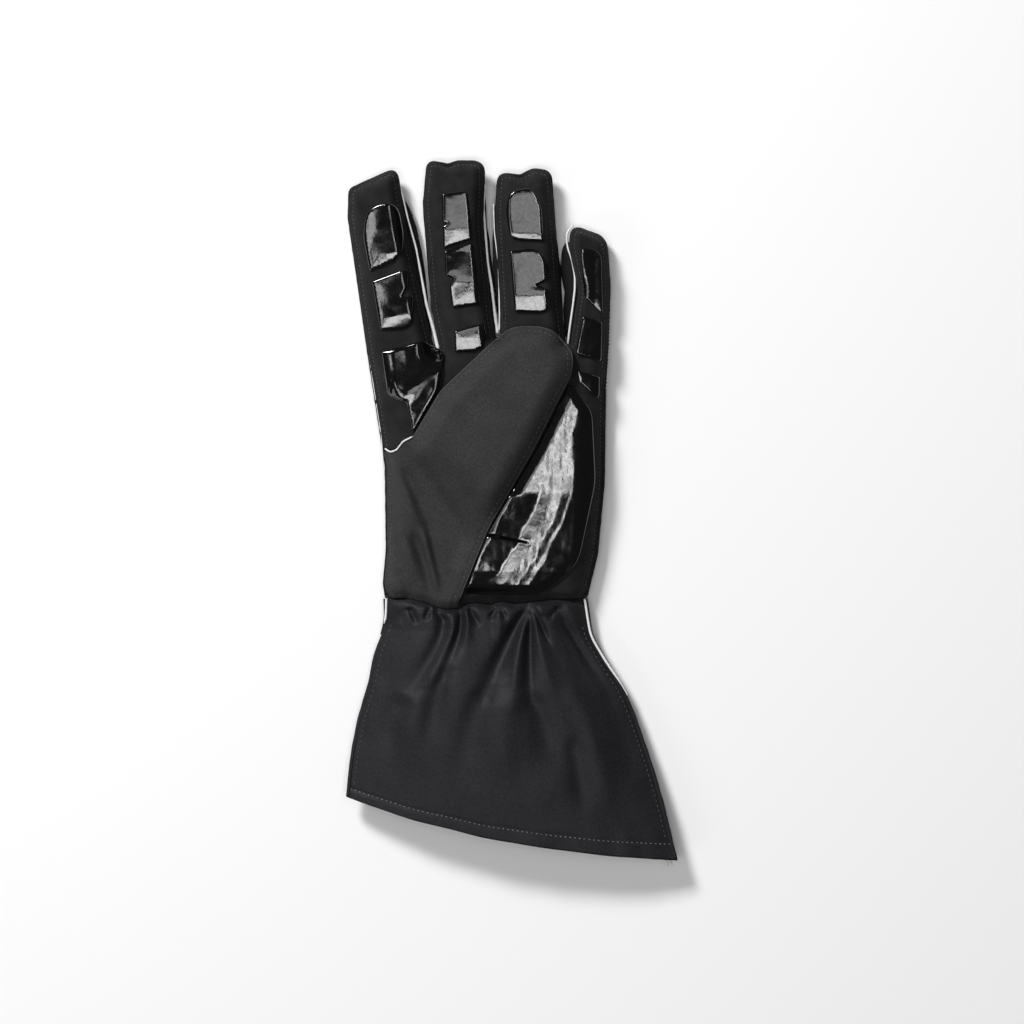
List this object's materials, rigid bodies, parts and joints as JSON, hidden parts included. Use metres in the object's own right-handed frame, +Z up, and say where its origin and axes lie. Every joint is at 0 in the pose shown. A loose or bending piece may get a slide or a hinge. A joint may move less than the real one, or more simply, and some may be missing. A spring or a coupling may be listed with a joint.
{
  "type": "racing glove",
  "caption": "Left-hand driver's glove lying palm up, with raised glossy grips on palm and fingers, a thumb folded over the palm, and a long flared gauntlet cuff gathered at the wrist.",
  "frame": {"origin": "on the surface that the glove lies on, below the middle of its outline", "axes": "+Y from the cuff towards the fingertips, +X towards the little finger's side, +Z up, out of the palm"},
  "size_m": [0.165, 0.35, 0.0323],
  "materials": {
    "palm_suede": "matt microsuede, charcoal black",
    "stretch_cloth": "matt stretch cloth, charcoal black",
    "cuff_cloth": "soft satin cloth, black",
    "grip_silicone": "glossy moulded silicone, black",
    "white_piping": "white cord piping"
  },
  "bodies": {
    "root": {"palm_panel": "palm_suede", "thumb_inner_panel": "palm_suede", "back_panel": "stretch_cloth", "thumb_panel": "stretch_cloth", "fourchette_index_middle": "stretch_cloth", "fourchette_middle_ring": "stretch_cloth", "fourchette_ring_little": "stretch_cloth", "cuff_palm_panel": "cuff_cloth", "cuff_back_panel": "cuff_cloth", "index_grip_tip": "grip_silicone", "index_grip_middle": "grip_silicone", "index_grip_base": "grip_silicone", "middle_grip_tip": "grip_silicone", "middle_grip_middle": "grip_silicone", "middle_grip_base": "grip_silicone", "ring_grip_tip": "grip_silicone", "ring_grip_middle": "grip_silicone", "little_grip_tip": "grip_silicone", "little_grip_middle": "grip_silicone", "little_grip_base": "grip_silicone", "palm_grip": "grip_silicone", "piping_index": "white_piping", "piping_middle": "white_piping", "piping_ring": "white_piping", "piping_little": "white_piping", "piping_cuff_left": "white_piping", "piping_cuff_right": "white_piping"}
  },
  "joints": []
}
